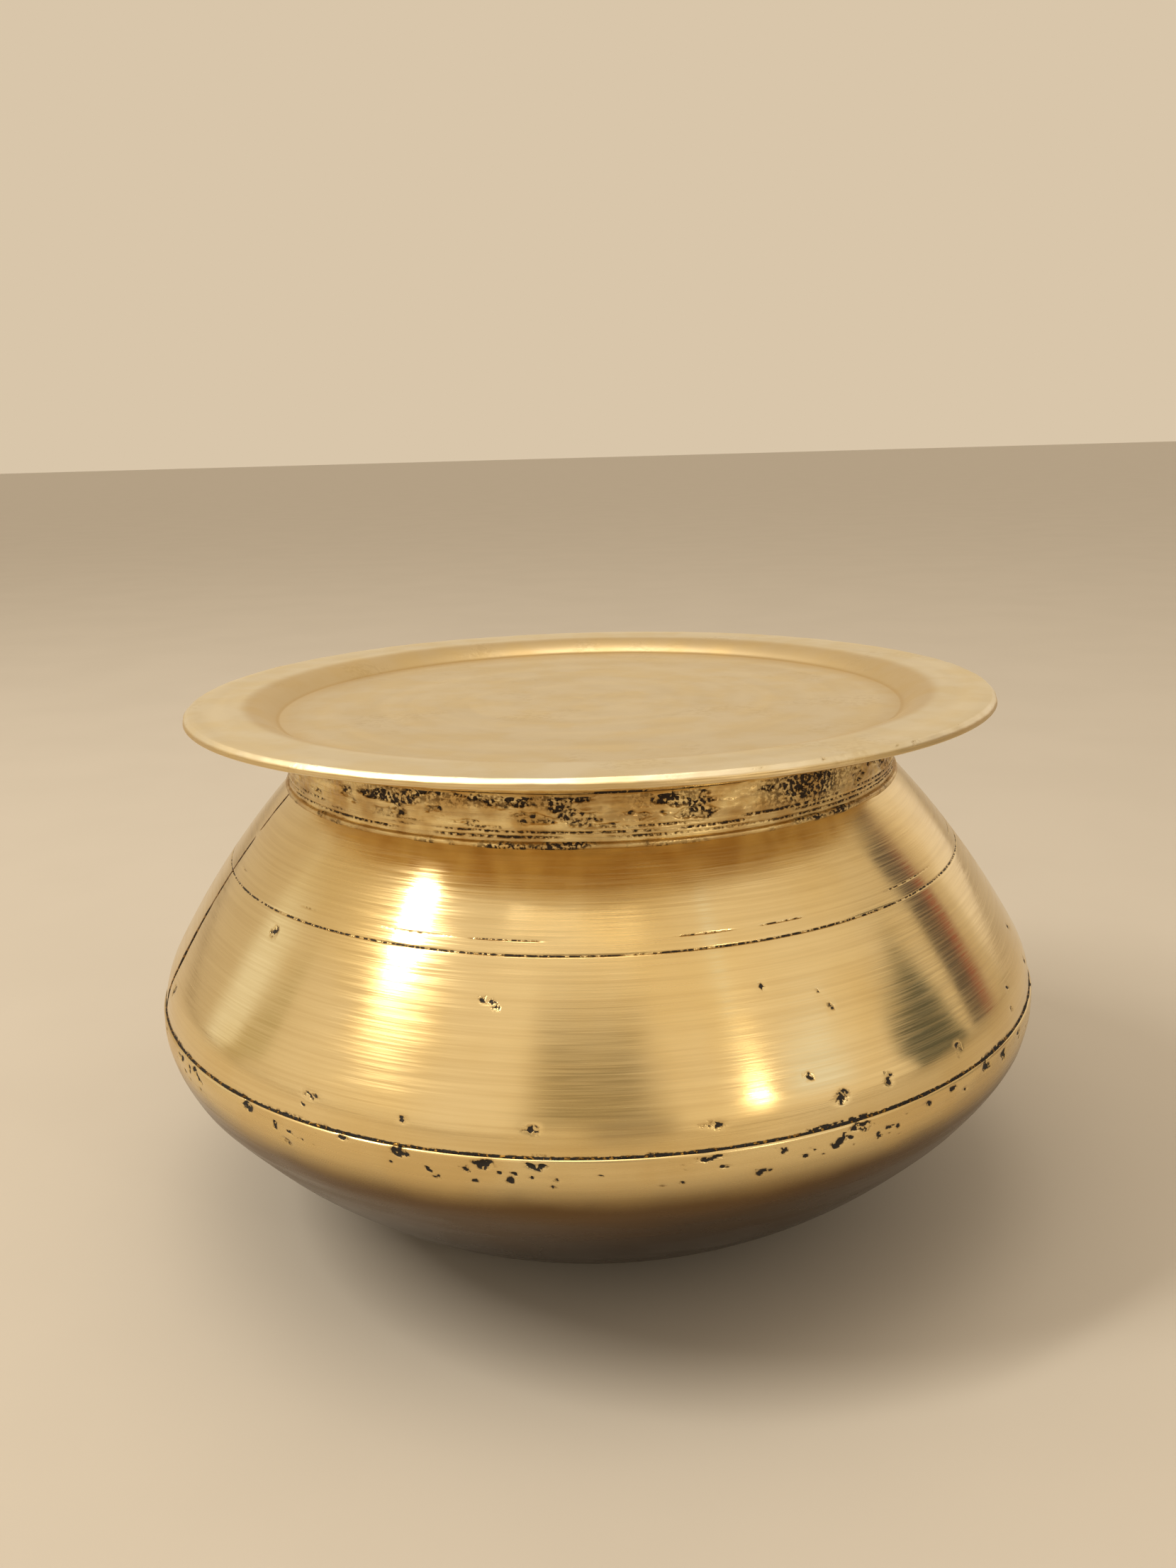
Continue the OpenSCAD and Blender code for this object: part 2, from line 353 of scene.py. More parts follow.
# spelter that has run into the joints: darker and redder than the sheet
spelter = brassShader("brazing spelter", {
    "colour": "#A9823F", "warm": "#7E5C2C", "shade": "#5A4020", "ringShade": 0.6,
    "stainAndShadeColour": "#3C2A16", "stainAndShade": 0.9, "oxideAndShadeColour": "#140E09",
    "fineTurn": 60, "fineRing": 0.6 * mm, "wideTurn": 30, "wideRing": 1.2 * mm,
    "cloudSize": 9 * mm, "speckSize": 1.2 * mm, "smoothest": 0.3, "roughest": 0.5,
    "ringDepth": 0.02 * mm, "pitDepth": 0.4 * mm, "grain": 0.04 * mm, "grainSize": 1.0 * mm,
    "drawnOut": 0.0})
print("materials ready")


# ---- the bowl

bowlLook = {
    "steps": 900, "sheet": 1.8, "beltHeight": 79.0, "baseRadius": 60.0, "sweepRadius": 164.0,
    "turnRadius": 34.0, "edgeRound": 0.75,
    # how far apart the outline's points are: under the foot, up the side, at the belly, in the band that
    # shows the pits, round the edge, and inside
    "footStep": 5, "sideStep": 3.6, "turnStep": 1.4, "bandStep": 0.42, "edgeStep": 0.3,
    "innerTurnStep": 4, "innerStep": 9, "floorStep": 15, "bandTurn": -15,
    # marks are (width, height)
    "dentSize": (34.0, 15.0), "dentDepth": 0.40, "rippleSize": (13.0, 7.0), "rippleShare": 0.35,
    "pitSize": (3.0, 2.2), "smallPitSize": (1.5, 1.3), "clusterSize": (22.0, 26.0),
    "pitBand": 12.0, "pitDepth": 0.45, "sownFlaws": 34,
    # the deeper flaws of the seam, most of them where the bowl's edge was hammered over
    "flaws": ((-148, 79.6, 2.6, 1.0, 1.0), (-143, 79.8, 2.0, 1.3, 1.0), (-131, 80.0, 3.4, 1.3, 1.0),
              (-125, 74.5, 2.0, 1.2, 1.0), (-117, 80.3, 1.6, 0.9, 0.9), (-110, 79.9, 2.6, 1.0, 1.0),
              (-106, 75.0, 0.8, 0.7, 0.8), (-101, 79.7, 3.0, 1.1, 1.0), (-96, 79.6, 2.8, 0.8, 1.0),
              (-98.5, 75.5, 0.7, 1.6, 0.7), (-79, 79.9, 4.2, 0.6, 0.9), (-73.5, 73.5, 2.2, 1.3, 0.9),
              (-71, 78.9, 1.0, 0.8, 0.9), (-68.5, 75.6, 0.8, 1.0, 0.9), (-65, 77.2, 1.3, 1.4, 1.0),
              (-63.2, 77.0, 0.9, 0.9, 1.0), (-62, 79.9, 3.4, 1.2, 1.0), (-58, 77.3, 0.8, 0.8, 0.9),
              (-52.5, 78.8, 1.6, 1.2, 0.9), (-48, 80.1, 2.4, 0.8, 1.0), (-41, 79.9, 2.6, 1.2, 1.0),
              (-36, 78.6, 1.6, 1.8, 0.9), (-30, 79.9, 2.0, 0.8, 0.9))}


def makeBowl(look):
    low, high = nodeSize("bowl")
    seamHeight = high.z
    sheet = look["sheet"]
    sweepRadius, turnRadius = look["sweepRadius"], look["turnRadius"]
    turnCentre = (high.x - turnRadius, look["beltHeight"])
    turn = turnTo(look["baseRadius"] - turnCentre[0], look["beltHeight"], sweepRadius, turnRadius)
    away = sweepRadius - turnRadius
    sweepCentre = (turnCentre[0] - away * math.cos(turn), turnCentre[1] + away * math.sin(turn))
    seamTurn = math.asin((seamHeight - look["beltHeight"] - look["edgeRound"]) / turnRadius)
    baseTurn = math.asin(sweepCentre[1] / sweepRadius)
    bandTurn = math.radians(look["bandTurn"])
    # the flat foot ends just short of the side, which softens its corner
    outside = linePoints((0, 0), (look["baseRadius"] - 4, 0), look["footStep"])
    outside += arcPoints(sweepCentre, sweepRadius, -baseTurn + 0.012, -turn, look["sideStep"])
    outside += arcPoints(turnCentre, turnRadius, -turn, bandTurn, look["turnStep"])[1:]
    outside += arcPoints(turnCentre, turnRadius, bandTurn, seamTurn, look["bandStep"])[1:]
    # the edge is burnished over to a small round
    edge = look["edgeRound"]
    edgeCentre = (high.x - edge - 0.05, seamHeight - edge)
    outside += arcPoints(edgeCentre, edge, 0.2, math.pi / 2, look["edgeStep"])
    inside = [(outside[-1][0] - 1.0, seamHeight)]
    inside += arcPoints(turnCentre, turnRadius - sheet, seamTurn, -turn, look["innerTurnStep"])
    innerBase = math.asin((sweepCentre[1] - sheet) / (sweepRadius - sheet))
    inside += arcPoints(sweepCentre, sweepRadius - sheet, -turn, -innerBase, look["innerStep"])[1:]
    inside += linePoints(inside[-1], (0, sheet), look["floorStep"])[1:]
    piece = latheOutline("bowl_shell", outside + inside, look["steps"], closed=False)
    surface = readSurface(piece)
    drop = seamHeight - surface["height"]
    outer = (surface["outward"] > 0.05) & (surface["height"] > 4)
    below = smooth(0.4, 3.0, drop)
    # hammer marks that the rubbing didn't take out, strongest in the band under the seam
    dents = clouds(surface, *look["dentSize"], 3.1) * (1 - smooth(22, 60, drop))
    ripple = clouds(surface, *look["rippleSize"], 17.7) * (1 - smooth(10, 26, drop)) * look["rippleShare"]
    # pits, sown round the whole seam, and the listed flaws
    pits = clouds(surface, *look["pitSize"], 41.3) + 0.6 * clouds(surface, *look["smallPitSize"], 9.9)
    cluster = clouds(surface, *look["clusterSize"], 5.5)
    reach = (1 - smooth(2.0, look["pitBand"], drop)) * below * outer
    fine = smooth(0.70, 0.95, pits + 0.45 * cluster + 0.10 * reach)
    random = np.random.default_rng(11)
    sown = [(random.uniform(-26, 208), 80.2 - random.exponential(1.4), random.uniform(0.8, 2.8),
             random.uniform(0.6, 1.3), random.uniform(0.8, 1.0)) for _ in range(look["sownFlaws"])]
    flaws = placedMarks(surface, look["flaws"] + tuple(sown), 15.0) * outer
    deep = np.maximum(fine * reach, flaws)
    rise = (dents + ripple) * look["dentDepth"] * below * outer - deep * look["pitDepth"]
    moveSurface(piece, surface, rise)
    # the pits hold oxide that the rubbing can't reach
    paintSurface(piece, "oxideAndShade", deep)
    finishPiece(piece, "bowl", "pot", planishedBrass)


makeBowl(bowlLook)


# ---- the shoulder

def riseSeam(centre, height, radius):
    # how far round a corner curve a height is
    return math.asin((height - centre[1]) / radius)


shoulderLook = {
    "steps": 720, "sheet": 1.8, "sweepRadius": 274.0, "turnRadius": 31.0,
    # the incised lines; the outline's points are close together as far as lineNear beyond them
    "lineDrop": 24.2, "lineGap": 3.3, "lineWidth": 0.50, "lineDepth": 0.26, "faintDepth": 0.16,
    "lineNear": 1.6, "lineStep": 0.2,
    "turnStep": 0.8, "sideStep": 1.5, "innerStep": 5, "innerTurnStep": 3,
    "dentSize": (42.0, 30.0), "smallDentSize": (17.0, 22.0), "dentDepth": 0.16,
    "pitDepth": 0.35, "sownFlaws": 22,
    # the few flaws that the polishing left
    "flaws": ((-137, 122, 1.3, 1.0, 0.8), (-102, 116.3, 2.6, 0.35, 0.9), (-101.2, 115.4, 1.5, 0.3, 0.8),
              (-70, 117, 2.4, 0.3, 0.8), (-63.8, 113.8, 0.7, 0.5, 1.0), (-62.6, 112.6, 0.5, 0.4, 1.0),
              (-62, 110.0, 0.5, 0.5, 1.0), (-67, 95.5, 1.5, 0.5, 0.9), (-64, 88.6, 2.0, 1.0, 1.0),
              (-63.2, 90.4, 1.6, 0.5, 0.8), (-57.5, 89.6, 1.0, 2.2, 0.9), (-45.8, 89.2, 1.0, 1.8, 1.0),
              (-31, 88.0, 0.7, 1.0, 1.0), (-30, 93.0, 0.7, 1.2, 1.0), (-78, 88.2, 2.8, 0.5, 0.9),
              (-96.5, 89.0, 1.6, 0.9, 0.8), (-121.6, 88.6, 3.0, 0.5, 1.0), (-122.6, 86.4, 0.6, 0.6, 1.0),
              (-161, 86.5, 1.2, 2.2, 1.0), (-157.5, 92.0, 1.5, 1.8, 0.9), (-110, 88.2, 0.8, 0.6, 0.9))}


def makeShoulder(look):
    low, high = nodeSize("shoulder")
    belt = bowlLook["beltHeight"]
    sheet, sweepRadius, turnRadius = look["sheet"], look["sweepRadius"], look["turnRadius"]
    turnCentre = (high.x - math.sqrt(turnRadius ** 2 - (low.z - belt) ** 2), belt)
    topRadius = nodeSize("collar")[1].x
    turn = turnTo(topRadius - turnCentre[0], high.z - belt, sweepRadius, turnRadius)
    away = sweepRadius - turnRadius
    sweepCentre = (turnCentre[0] - away * math.cos(turn), turnCentre[1] - away * math.sin(turn))

    def riseAt(height, radius=sweepRadius):
        return math.asin((height - sweepCentre[1]) / radius)

    lineHeights = [high.z - look["lineDrop"], high.z - look["lineDrop"] + look["lineGap"]]
    nearLow = riseAt(lineHeights[0] - look["lineNear"])
    nearHigh = riseAt(lineHeights[1] + look["lineNear"])
    seam = riseSeam(turnCentre, low.z, turnRadius)
    outside = arcPoints(turnCentre, turnRadius, seam, turn, look["turnStep"])
    outside += arcPoints(sweepCentre, sweepRadius, turn, nearLow, look["sideStep"])[1:]
    outside += arcPoints(sweepCentre, sweepRadius, nearLow, nearHigh, look["lineStep"])[1:]
    outside += arcPoints(sweepCentre, sweepRadius, nearHigh, riseAt(high.z), look["sideStep"])[1:]
    inner, innerTurn = sweepRadius - sheet, turnRadius - sheet
    innerSeam = riseSeam(turnCentre, low.z, innerTurn)
    inside = arcPoints(sweepCentre, inner, riseAt(high.z, inner), turn, look["innerStep"])
    inside += arcPoints(turnCentre, innerTurn, turn, innerSeam, look["innerTurnStep"])[1:]
    piece = latheOutline("shoulder_shell", outside + inside, look["steps"], closed=True)
    surface = readSurface(piece)
    height = surface["height"]
    outer = surface["outward"] > 0.05
    clear = smooth(0.3, 6.0, height - low.z) * smooth(0.3, 5.0, high.z - height)
    dents = clouds(surface, *look["dentSize"], 7.4) + 0.4 * clouds(surface, *look["smallDentSize"], 21.0)
    # the incised lines: the scriber skipped on the upper one
    skip = clouds(surface, 22.0, 200.0, 2.2)
    groove = np.exp(-((height - lineHeights[0]) / (0.5 * look["lineWidth"])) ** 2 * 1.6)
    faint = np.exp(-((height - lineHeights[1]) / (0.4 * look["lineWidth"])) ** 2 * 1.6)
    lower = groove * smooth(-0.75, -0.1, skip)
    upper = faint * smooth(-0.05, 0.3, clouds(surface, 14.0, 200.0, 12.9))
    cuts = lower * look["lineDepth"] + upper * look["faintDepth"]
    random = np.random.default_rng(23)
    sown = [(random.uniform(-20, 195), 83.5 + random.exponential(9.0), random.uniform(0.6, 2.6),
             random.uniform(0.4, 1.4), random.uniform(0.7, 1.0)) for _ in range(look["sownFlaws"])]
    deep = placedMarks(surface, look["flaws"] + tuple(sown), 88.0) * clear * outer
    rise = dents * look["dentDepth"] * clear - cuts - deep * look["pitDepth"]
    moveSurface(piece, surface, rise * outer)
    # the dark line of the joint, in the last millimetre above the seam
    wander = 0.45 * clouds(surface, 6.0, 50.0, 4.0) + 0.5 * clouds(surface, 21.0, 200.0, 30.0)
    joint = (1 - smooth(0.1, 0.9, height - low.z + wander)) * outer
    paintSurface(piece, "oxideAndShade", deep + lower * 0.66 + upper * 0.45 + joint * 0.9)
    finishPiece(piece, "shoulder", "pot", polishedBrass)
    return {"turnCentre": turnCentre, "sweepCentre": sweepCentre, "turn": turn, "riseAt": riseAt}


shoulderShape = makeShoulder(shoulderLook)


# ---- the lengthwise seam of the shoulder

# its width is in radians; it stands proud of the shoulder by `proud`, and more or less by `ragged`
stripLook = {"width": 0.0108, "steps": 6, "outerStep": 1.0, "innerStep": 5, "innerTurnStep": 3,
             "lumpSize": (5.0, 4.0), "proud": 0.10, "ragged": 0.10}


def makeStrip(look, shape):
    low, high = nodeSize("shoulder_strip")
    middle = math.atan2((low.y + high.y) / 2, (low.x + high.x) / 2)
    width = look["width"]
    sweepRadius, turnRadius = shoulderLook["sweepRadius"], shoulderLook["turnRadius"]
    turnCentre, sweepCentre = shape["turnCentre"], shape["sweepCentre"]
    turn, riseAt = shape["turn"], shape["riseAt"]
    seam = riseSeam(turnCentre, low.z, turnRadius)
    outside = arcPoints(turnCentre, turnRadius, seam, turn, look["outerStep"])
    outside += arcPoints(sweepCentre, sweepRadius, turn, riseAt(high.z), look["outerStep"])[1:]
    inner, innerTurn = sweepRadius - shoulderLook["sheet"], turnRadius - shoulderLook["sheet"]
    innerSeam = riseSeam(turnCentre, low.z, innerTurn)
    inside = arcPoints(sweepCentre, inner, riseAt(high.z, inner), turn, look["innerStep"])
    inside += arcPoints(turnCentre, innerTurn, turn, innerSeam, look["innerTurnStep"])[1:]
    piece = latheOutline("shoulder_seam_strip", outside + inside, look["steps"], closed=True,
                         angle=width, startAngle=middle - width / 2)
    surface = readSurface(piece)
    outer = surface["outward"] > 0.05
    aside = np.abs((surface["azimuth"] - middle + math.pi) % (2 * math.pi) - math.pi) / (width / 2)
    lumps = clouds(surface, *look["lumpSize"], 6.0)
    moveSurface(piece, surface, (look["proud"] + look["ragged"] * lumps) * outer)
    paintSurface(piece, "oxideAndShade", (1.0 - 0.45 * aside + 0.5 * lumps) * outer)
    finishPiece(piece, "shoulder_strip", "pot", spelter)


makeStrip(stripLook, shoulderShape)


# ---- the bead of spelter in the belly seam

bellyBeadLook = {"steps": 720, "arcStep": 0.18, "lumpSize": 7.0, "smallLumpSize": 2.6, "lumpDepth": 0.16}


def makeBellyBead(look):
    low, high = nodeSize("belly_braze")
    shoulderEdge = nodeSize("shoulder")[1].x
    size = high.z - low.z
    outline = [(shoulderEdge - 0.25, low.z - 0.02)]
    outline += arcPoints((shoulderEdge - 0.2, low.z), size * 0.78, 0, math.pi / 2, look["arcStep"])
    outline += [(shoulderEdge - 0.4, low.z + size * 0.7)]
    piece = latheOutline("belly_bead", outline, look["steps"], closed=True)
    surface = readSurface(piece)
    large, small = look["lumpSize"], look["smallLumpSize"]
    lumps = clouds(surface, large, large, 1.5) + 0.6 * clouds(surface, small, small, 3.3)
    moveSurface(piece, surface, look["lumpDepth"] * lumps - 0.05)
    paintSurface(piece, "oxideAndShade", 0.75 + 0.5 * lumps)
    finishPiece(piece, "belly_braze", "pot", spelter)


makeBellyBead(bellyBeadLook)


# ---- the neck: lip, collar and the bead at its foot

neckLook = {
    "lipSteps": 480, "lipThick": 2.0, "flareRadius": 15.0, "lipWear": 0.10,
    "collarSteps": 1350, "collarThick": 1.5, "collarStep": 0.34, "crust": 0.62,
    "patchSize": (26.0, 60.0), "swellSize": (9.0, 3.2), "tornSize": (3.4, 1.5), "crumbSize": (3.2, 1.6),
    "ledges": 3, "ledgePitch": 1.3, "ledgeStart": 2.4, "ledgeWidth": 0.30, "ledgeDepth": 0.32,
    # painted shade at one place round the collar: where it is, in degrees round from +X, and how wide
    "shadePatch": -52, "shadePatchWidth": 10,  # a dark place, in degrees round from +X
    "beadSteps": 720, "beadLumpSize": (16.0, 5.0), "beadLumpDepth": 0.22}


def makeLip(look):
    low, high = nodeSize("lip")
    thick, flare = look["lipThick"], look["flareRadius"]
    neckRadius = nodeSize("collar")[1].x - look["collarThick"]
    centre = (neckRadius - thick + flare, high.z - flare)
    end = high.x - thick / 2
    outline = linePoints((neckRadius - thick, low.z), (neckRadius - thick, centre[1]), 2.0)
    outline += arcPoints(centre, flare, math.pi, math.pi / 2, 1.0)[1:]
    outline += linePoints((centre[0], high.z), (end, high.z), 1.5)[1:]
    outline += arcPoints((end, high.z - thick / 2), thick / 2, math.pi / 2, -math.pi / 2, 0.35)[1:]
    outline += linePoints((end, high.z - thick), (centre[0], high.z - thick), 1.5)[1:]
    outline += arcPoints(centre, flare - thick, math.pi / 2, math.pi, 0.8)[1:]
    outline += linePoints((neckRadius, centre[1]), (neckRadius, low.z), 2.0)[1:]
    piece = latheOutline("flared_lip", outline, look["lipSteps"], closed=True)
    surface = readSurface(piece)
    under = (surface["normal"][:, 2] < -0.2) | (surface["outward"] > 0.9)
    lumps = clouds(surface, 9.0, 4.0, 15.0) + 0.5 * clouds(surface, 3.0, 3.0, 2.0)
    moveSurface(piece, surface, look["lipWear"] * lumps * under - 0.08 * under)
    # the flux stayed in the bend under the lip
    crust = smooth(-0.1, 0.5, lumps) * under * (1 - smooth(4, 12, surface["radius"] - neckRadius))
    paintSurface(piece, "oxideAndShade", crust)
    finishPiece(piece, "lip", "pot", scorchedBrass)


def makeCollar(look):
    low, high = nodeSize("collar")
    radius = high.x
    inner = radius - look["collarThick"]
    flareStart = nodeSize("lip")[1].z - look["flareRadius"]
    outline = linePoints((radius, low.z), (radius, high.z - 0.6), look["collarStep"])
    outline += [(radius + 0.1, high.z)]
    outline += [(inner + 0.8, high.z - 1.2), (inner + 0.2, flareStart), (inner, low.z)]
    piece = latheOutline("neck_collar", outline, look["collarSteps"], closed=True)
    surface = readSurface(piece)
    outer = surface["outward"] > 0.5
    up = surface["height"] - low.z
    # crust with torn edges, wider than it is high, in patches over long smooth swells
    patch = clouds(surface, *look["patchSize"], 61.0)
    swells = clouds(surface, *look["swellSize"], 19.0)
    torn = clouds(surface, *look["tornSize"], 33.0)
    crumbs = hackly(surface, *look["crumbSize"], 45.0)
    hole = smooth(0.02, 0.30, swells * 0.8 + torn * 0.5 + patch * 0.5 - 0.04)
    # the tool cut a few ledges at the foot, and broke through the crust in places
    foot = 1 - smooth(5.0, 6.8, up + 1.2 * swells)
    ledges = np.zeros(len(up))
    for i in range(look["ledges"]):
        wander = 0.35 * clouds(surface, 40.0, 400.0, 80.0 + i)
        skip = smooth(-0.35, 0.15, clouds(surface, 15.0, 300.0, 71.0 + 5 * i))
        above = up - look["ledgeStart"] - i * look["ledgePitch"] + wander
        ledges += np.exp(-(above / look["ledgeWidth"]) ** 2) * skip
    ledges *= foot
    hole *= 1 - 0.85 * foot
    crusty = (0.7 * crumbs - 0.35 + 0.3 * torn) * (1 - 0.75 * foot)
    rough = look["crust"] * (0.4 * swells + crusty - hole)
    moveSurface(piece, surface, (rough - look["ledgeDepth"] * ledges - 0.15) * outer)
    # painted shade: darker close under the lip, where the lid's shadow falls
    underLipShade = smooth(8.0, 11.5, up + 1.5 * swells) * smooth(-0.4, 0.3, patch)
    shadePatch = np.exp(-((np.degrees(surface["azimuth"]) - look["shadePatch"]) / look["shadePatchWidth"]) ** 2)
    # the real oxide in the crust's holes and in the ledges, with the painted shade under the lip
    crustAndShade = hole * (0.02 + 0.58 * crumbs) + ledges * 0.5 + underLipShade * 0.22
    # painted shade: a darker patch at one place round the collar
    crustAndShade = crustAndShade + shadePatch * smooth(3, 8, up) * 0.38
    paintSurface(piece, "oxideAndShade", crustAndShade * outer)
    finishPiece(piece, "collar", "pot", scorchedBrass)


def makeNeckBead(look):
    low, high = nodeSize("neck_braze")
    radius = nodeSize("collar")[1].x
    foot = nodeSize("collar")[0].z
    size = high.z - foot
    outline = [(radius - 0.4, foot - 0.3), (radius - 0.3, foot + size * 0.85)]
    outline += arcPoints((radius, foot), size * 0.85, math.pi / 2, math.radians(-45), 0.25)
    piece = latheOutline("neck_bead", outline, look["beadSteps"], closed=True)
    surface = readSurface(piece)
    lumps = clouds(surface, *look["beadLumpSize"], 8.0) + 0.5 * clouds(surface, 4.0, 3.0, 3.0)
    moveSurface(piece, surface, look["beadLumpDepth"] * lumps - 0.12)
    paintSurface(piece, "oxideAndShade", 0.12 + 0.5 * lumps)
    finishPiece(piece, "neck_braze", "pot", scorchedBrass)


makeLip(neckLook)
makeCollar(neckLook)
makeNeckBead(neckLook)


# ---- the lid

lidLook = {
    "steps": 600, "rim": 3.1, "bevel": 1.5, "rimRadius": 118.0,
    "dishDepth": 5.2, "rollRadius": 17.0, "creaseRadius": 3.0,
    # the cone under the lid, from where it leaves the rim to where it meets the flat middle
    "coneRadius": 110.4, "middleRadius": 102.0,
    "warp": 0.22, "warpSize": 70.0, "smallWarpSize": 24.0,
    "fileMarks": 0.16, "fileMarkSize": (9.0, 2.0), "smallFileMarkSize": (3.5, 1.6)}


def makeLid(look):
    low, high = nodeSize("lid")
    radius, top = high.x, high.z
    roll, crease, depth = look["rollRadius"], look["creaseRadius"], look["dishDepth"]
    upright, under = math.pi / 2, top - look["rim"]
    # the rim rolls over into the dish, and a tight crease ends the floor
    rollCentre = (look["rimRadius"], top - roll)
    drop = roll + crease - depth
    creaseCentre = (rollCentre[0] - math.sqrt((roll + crease) ** 2 - drop ** 2), top - depth + crease)
    turn = math.acos(drop / (roll + crease))
    outline = linePoints((0, top - depth), (creaseCentre[0], top - depth), 7.0)
    outline += arcPoints(creaseCentre, crease, -upright, -upright + turn, 0.4)[1:]
    outline += arcPoints(rollCentre, roll, upright + turn, upright, 0.9)[1:]
    outline += linePoints((look["rimRadius"], top), (radius - look["bevel"] - 0.3, top), 1.6)[1:]
    # the filed edge: a bevel with its corners rubbed round, and an upright face with a rounded foot
    bevel = look["bevel"]
    outline += [(radius - bevel + 0.05, top - 0.08), (radius - bevel * 0.68, top - bevel * 0.34),
                (radius - bevel * 0.34, top - bevel * 0.68), (radius - 0.06, top - bevel - 0.02),
                (radius, top - bevel - 0.3), (radius, top - bevel - 0.8), (radius - 0.05, under + 0.35),
                (radius - 0.3, under + 0.05), (radius - 0.6, under)]
    # the underside, which bears on the lip at its rim and clears the flare with a plain cone
    cone, middle = look["coneRadius"], look["middleRadius"]
    outline += linePoints((radius - 0.6, under), (cone, under), 4.0)[1:]
    outline += linePoints((cone, under), (middle, low.z), 3.0)[1:]
    outline += linePoints((middle, low.z), (0, low.z), 14.0)[1:]
    piece = latheOutline("dished_lid", outline, look["steps"], closed=False)
    surface = readSurface(piece)
    radial = surface["radius"]
    facing = surface["normal"][:, 2] > -0.2
    onEdge = smooth(radius - 2.6, radius - 1.2, radial)
    # the plate isn't quite flat, and the file left short flats round the edge
    large, small = look["warpSize"], look["smallWarpSize"]
    swell = clouds(surface, large, large, 5.0) + 0.25 * clouds(surface, small, small, 14.0)
    flats = clouds(surface, *look["fileMarkSize"], 27.0)
    flats += 0.7 * clouds(surface, *look["smallFileMarkSize"], 51.0)
    rise = look["warp"] * swell * smooth(0, 20, radial) * (1 - 0.6 * onEdge) - look["warp"] * 0.7
    rise = rise + look["fileMarks"] * (flats - 0.8) * onEdge
    moveSurface(piece, surface, rise * facing)
    nicks = smooth(0.55, 0.9, flats) * onEdge * facing
    cloth = clouds(surface, 30.0, 12.0, 63.0) + 0.5 * clouds(surface, 9.0, 9.0, 64.0)
    smears = smooth(0.15, 0.6, cloth) * facing
    paintSurface(piece, "oxideAndShade", nicks * 0.5 + smears * 0.10)
    # painted reflection on the wall of the dish, painted shade on the upright of the edge and a little over
    # the floor, and a darker line along the crease, all in a darker gold
    footRadius = creaseCentre[0]
    wall = smooth(footRadius - 0.5, footRadius + 1.5, radial)
    wall = wall * (1 - smooth(look["rimRadius"] - 4.5, look["rimRadius"], radial))
    side = smooth(radius - 0.25, radius - 0.02, radial)
    flat = 0.2 * (1 - smooth(footRadius - 2, footRadius, radial))
    foot = np.exp(-((radial - footRadius - 0.4) / 0.8) ** 2) * facing
    paintSurface(piece, "paintedReflectionAndShade", wall * 0.55 + side * 0.7 + flat + foot * 0.5)
    finishPiece(piece, "lid", "lid", satinBrass)


makeLid(lidLook)


# ---- floor, light and camera

studioLook = {
    "floorSize": 60,  # metres
    "floorColour": "#BDB5A9", "floorClouds": "#B1A99D",
    "roomFront": "#FAE8CE", "roomBack": "#D9C6AA",
    "lens": 30.79, "cameraAt": (0.0040, -0.4566, 0.2576), "yaw": -0.66, "pitch": 14.16, "roll": -1.59,
    # soft patches of the room that the brass mirrors: where they are (degrees round from +X, degrees up),
    # half their width and height, their tilt, how soft their edges are, and their colour
    "patches": (((-91, 27), (13, 15), 0, 0.45, "#A89A84"),   # whoever stands in front of the pot
                ((-83, 8), (9, 9), 0, 0.5, "#B0A18E"),       # and their lap
                ((-33, 22), (7, 7), 0, 0.6, "#FFFFFF"),      # bright walls
                ((164, 10), (6, 14), 0, 0.5, "#FFF8EA"),
                ((46, 12), (10, 20), 0, 0.3, "#FAEAD6"),
                ((1, 5), (9, 17), 10, 0.16, "#64645C"),      # a dark cupboard
                ((23, 14), (6.0, 14), -15, 0.2, "#6A605C"),  # a curtain, with a red border
                ((26, 11), (1.6, 10), -15, 0.5, "#AC6256"),
                ((174, 8), (4.0, 20), -25, 0.4, "#D0C09E"),  # the frame of a doorway
                ((-46, 47), (1.2, 11), -17, 0.8, "#FFFFFF")),
    # name: (start, end), as directions in the same degrees, distance, width, watts and colour
    "lights": {"window light": (((-171, 59), (-154, 39)), 2.4, 0.22, 32, "#FFF8EA"),
               "lamp light": (((-53, 22), (-51, 17)), 2.0, 0.08, 1.8, "#FFF3DA"),
               "ceiling light": (((-100, 60), (-80, 100)), 2.0, 1.0, 9, "#FFF4E2")}}


def makeFloor(look):
    clearSelection()
    bpy.ops.mesh.primitive_plane_add(size=look["floorSize"])
    floor = bpy.context.object
    floor.name = "floor"
    material = bpy.data.materials.new("pale matt floor")
    material.use_nodes = True
    tree = material.node_tree
    shader = tree.nodes["Principled BSDF"]
    faint = cloudPattern(tree, 0.12)
    colour = blend(tree, spread(tree, faint, 0.3, 0.7, 0.0, 0.2),
                   linear(look["floorColour"]), linear(look["floorClouds"]))
    tree.links.new(colour, shader.inputs["Base Color"])
    shader.inputs["Roughness"].default_value = 0.6
    floor.data.materials.append(material)


